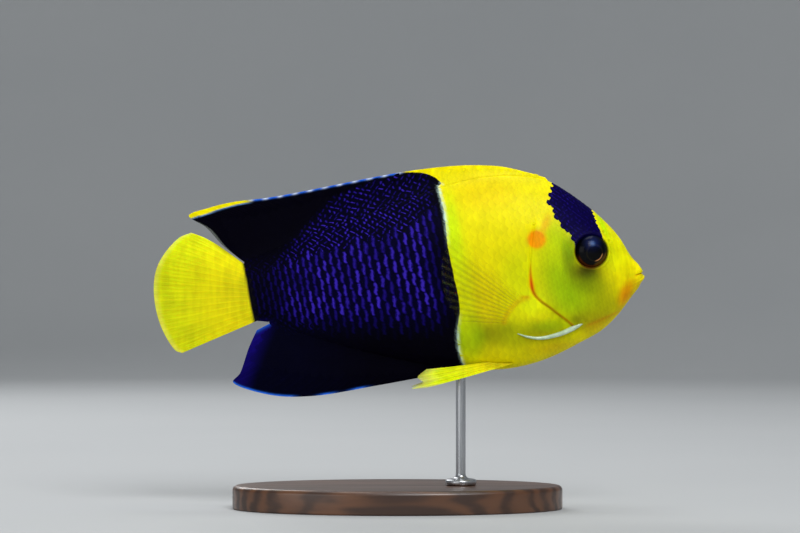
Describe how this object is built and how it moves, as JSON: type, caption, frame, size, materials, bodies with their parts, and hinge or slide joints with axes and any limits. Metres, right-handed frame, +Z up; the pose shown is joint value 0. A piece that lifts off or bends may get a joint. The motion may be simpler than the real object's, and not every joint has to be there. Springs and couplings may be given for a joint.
{
  "type": "bicolor angelfish display model",
  "caption": "Life-size still model of a yellow and blue reef angelfish, swimming level, held by one rod on a flat oval display base.",
  "frame": {"origin": "on the floor under the base, at the middle of the model's length and width", "axes": "+X the way the snout points, +Y towards the fish's left side, +Z up"},
  "size_m": [0.125, 0.046, 0.0874],
  "materials": {
    "yellow_skin": "wet yellow scaled skin, with a blue band over the eyes",
    "blue_skin": "blue-black scaled skin with violet-blue scale centres",
    "yellow_fin": "yellow fin membrane, a little translucent",
    "blue_fin": "blue-black fin membrane with a bright blue edge",
    "clear_fin": "clear yellowish fin membrane",
    "eye": "glossy dark eye",
    "base": "satin dark-stained wood",
    "rod": "satin steel"
  },
  "bodies": {
    "root": {"head": "yellow_skin", "gill_cover_right": "yellow_skin", "gill_cover_left": "yellow_skin", "eye_right": "eye", "eye_left": "eye", "shoulders": "yellow_skin", "trunk": "blue_skin", "tail_stalk": "blue_skin", "dorsal_fin": "blue_fin", "anal_fin": "blue_fin", "caudal_fin": "yellow_fin", "pectoral_fin_right": "clear_fin", "pectoral_fin_left": "clear_fin", "pelvic_fin_right": "yellow_fin", "pelvic_fin_left": "yellow_fin", "stand_base": "base", "stand_rod": "rod"}
  },
  "joints": []
}
